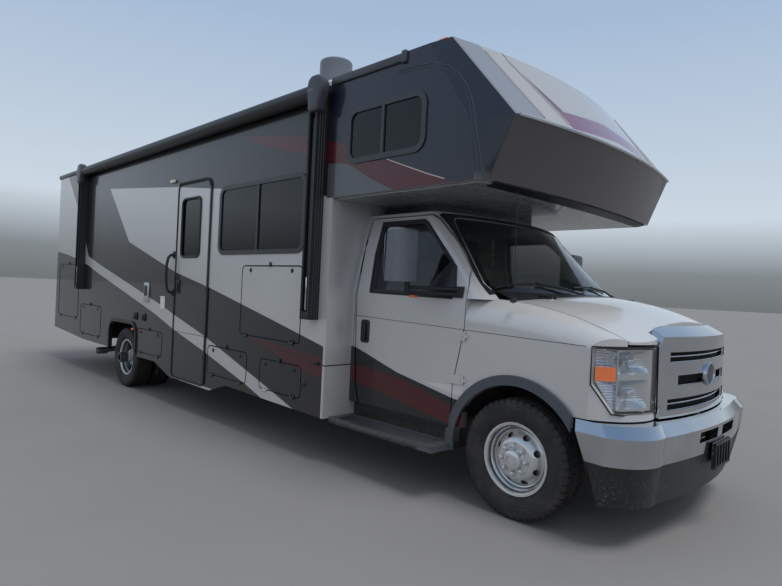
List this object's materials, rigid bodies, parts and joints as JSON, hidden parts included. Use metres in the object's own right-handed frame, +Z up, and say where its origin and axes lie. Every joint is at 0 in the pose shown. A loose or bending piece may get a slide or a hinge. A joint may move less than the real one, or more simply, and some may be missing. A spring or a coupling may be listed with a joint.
{
  "type": "motorhome",
  "caption": "Motorhome with a van cab, an over-cab sleeping cap and a coach body; opening doors, hood and hatches, steering and rolling wheels.",
  "frame": {"origin": "on the ground below the centre of the whole vehicle's bounding box", "axes": "+X forward, +Y to the driver's side (left), +Z up"},
  "size_m": [9.552, 2.703, 3.325],
  "materials": {
    "coach_paint": "gloss",
    "cab_paint": "gloss metallic",
    "cap_paint": "gloss",
    "roof_white": "matte",
    "interior": "satin",
    "chassis_black": "satin",
    "bare_steel": "satin",
    "engine_iron": "matte",
    "chrome": "polished",
    "black_plastic": "satin",
    "grey_plastic": "matte",
    "clear_lamp": "clear",
    "red_lamp": "gloss",
    "glass": "clear",
    "tyre": "matte",
    "seat_fabric": "woven",
    "bay_lining": "satin"
  },
  "bodies": {
    "coach": {"frame_rails": "chassis_black", "cross_members": "chassis_black", "tow_receiver": "chassis_black", "engine_block": "engine_iron", "axles": "chassis_black", "exhaust": "bare_steel", "underfloor_units": "grey_plastic", "front_bumper": "chrome", "front_valance": "black_plastic", "rear_bumper": "black_plastic", "cab_body": "cab_paint", "front_wings": "cab_paint", "grille": "chrome", "headlamps": "clear_lamp", "windscreen": "glass", "flares_and_steps": "black_plastic", "cab_seats": "seat_fabric", "dashboard": "grey_plastic", "coach_wall_right": "coach_paint", "coach_wall_left": "coach_paint", "coach_end_walls": "coach_paint", "coach_roof": "roof_white", "coach_floor": "interior", "overcab_cap": "cap_paint", "overcab_floor": "interior", "window_frames": "black_plastic", "window_glass": "glass", "awning": "black_plastic", "roof_units": "roof_white", "roof_dome": "black_plastic", "tail_lamps": "red_lamp", "roof_ladder": "chrome", "baggage_bays": "bay_lining"},
    "steering_knuckle_right": {"knuckle_right": "engine_iron"},
    "front_road_wheel_right": {"front_tyre_right": "tyre", "front_wheel_right": "chrome"},
    "rear_road_wheels_right": {"rear_tyres_right": "tyre", "rear_wheels_right": "chrome"},
    "cab_door_right": {"cab_door_right": "cab_paint", "cab_glass_right": "glass", "mirror_right": "black_plastic"},
    "steering_knuckle_left": {"knuckle_left": "engine_iron"},
    "front_road_wheel_left": {"front_tyre_left": "tyre", "front_wheel_left": "chrome"},
    "rear_road_wheels_left": {"rear_tyres_left": "tyre", "rear_wheels_left": "chrome"},
    "cab_door_left": {"cab_door_left": "cab_paint", "cab_glass_left": "glass", "mirror_left": "black_plastic"},
    "hood": {"hood": "cab_paint"},
    "entry_door": {"entry_door": "coach_paint", "entry_glass": "glass"},
    "rear_locker_door": {"rear_locker_door": "coach_paint"},
    "wet_bay_door": {"wet_bay_door": "coach_paint"},
    "generator_door": {"generator_door": "coach_paint"},
    "luggage_a_door": {"luggage_a_door": "coach_paint"},
    "luggage_b_door": {"luggage_b_door": "coach_paint"},
    "media_door": {"media_door": "coach_paint"},
    "left_locker_door": {"left_locker_door": "coach_paint"},
    "left_luggage_door": {"left_luggage_door": "coach_paint"}
  },
  "joints": [
    {"name": "steer_right", "type": "hinge", "parent": "coach", "child": "steering_knuckle_right", "pos_m": [3.89, -0.77, 0.37], "axis": [0, 0, 1], "range_deg": [-33, 33]},
    {"name": "front_wheel_right_spin", "type": "hinge", "parent": "steering_knuckle_right", "child": "front_road_wheel_right", "pos_m": [3.89, -0.879, 0.37], "axis": [0, 1, 0], "continuous": true},
    {"name": "rear_wheels_right_spin", "type": "hinge", "parent": "coach", "child": "rear_road_wheels_right", "pos_m": [-1.702, -0.988, 0.37], "axis": [0, 1, 0], "continuous": true},
    {"name": "cab_door_right_hinge", "type": "hinge", "parent": "coach", "child": "cab_door_right", "pos_m": [3.49, -1.002, 1.2], "axis": [0, 0, 1], "range_deg": [0, 65]},
    {"name": "steer_left", "type": "hinge", "parent": "coach", "child": "steering_knuckle_left", "pos_m": [3.89, 0.77, 0.37], "axis": [0, 0, 1], "range_deg": [-33, 33]},
    {"name": "front_wheel_left_spin", "type": "hinge", "parent": "steering_knuckle_left", "child": "front_road_wheel_left", "pos_m": [3.89, 0.879, 0.37], "axis": [0, 1, 0], "continuous": true},
    {"name": "rear_wheels_left_spin", "type": "hinge", "parent": "coach", "child": "rear_road_wheels_left", "pos_m": [-1.702, 0.988, 0.37], "axis": [0, 1, 0], "continuous": true},
    {"name": "cab_door_left_hinge", "type": "hinge", "parent": "coach", "child": "cab_door_left", "pos_m": [3.49, 1.002, 1.2], "axis": [0, 0, -1], "range_deg": [0, 65]},
    {"name": "hood_hinge", "type": "hinge", "parent": "coach", "child": "hood", "pos_m": [3.782, 0, 1.385], "axis": [0, -1, 0], "range_deg": [0, 55]},
    {"name": "entry_door_hinge", "type": "hinge", "parent": "coach", "child": "entry_door", "pos_m": [0.432, -1.264, 1.3], "axis": [0, 0, -1], "range_deg": [-165, 0]},
    {"name": "rear_locker_hinge", "type": "hinge", "parent": "coach", "child": "rear_locker_door", "pos_m": [-4.025, -1.261, 0.74], "axis": [1, 0, 0], "range_deg": [0, 90]},
    {"name": "wet_bay_hinge", "type": "hinge", "parent": "coach", "child": "wet_bay_door", "pos_m": [-2.98, -1.261, 0.54], "axis": [1, 0, 0], "range_deg": [0, 90]},
    {"name": "generator_hinge", "type": "hinge", "parent": "coach", "child": "generator_door", "pos_m": [-0.9175, -1.261, 0.49], "axis": [1, 0, 0], "range_deg": [0, 90]},
    {"name": "luggage_a_hinge", "type": "hinge", "parent": "coach", "child": "luggage_a_door", "pos_m": [0.8725, -1.261, 0.46], "axis": [1, 0, 0], "range_deg": [0, 90]},
    {"name": "luggage_b_hinge", "type": "hinge", "parent": "coach", "child": "luggage_b_door", "pos_m": [1.76, -1.261, 0.46], "axis": [1, 0, 0], "range_deg": [0, 90]},
    {"name": "media_hinge", "type": "hinge", "parent": "coach", "child": "media_door", "pos_m": [1.56, -1.261, 0.9], "axis": [1, 0, 0], "range_deg": [0, 90]},
    {"name": "left_locker_hinge", "type": "hinge", "parent": "coach", "child": "left_locker_door", "pos_m": [-4.025, 1.261, 0.74], "axis": [-1, 0, 0], "range_deg": [0, 90]},
    {"name": "left_luggage_hinge", "type": "hinge", "parent": "coach", "child": "left_luggage_door", "pos_m": [0.8725, 1.261, 0.46], "axis": [-1, 0, 0], "range_deg": [0, 90]}
  ],
  "couplings": [
    {"joint": "steer_left", "follows": "steer_right", "ratio": 1}
  ]
}
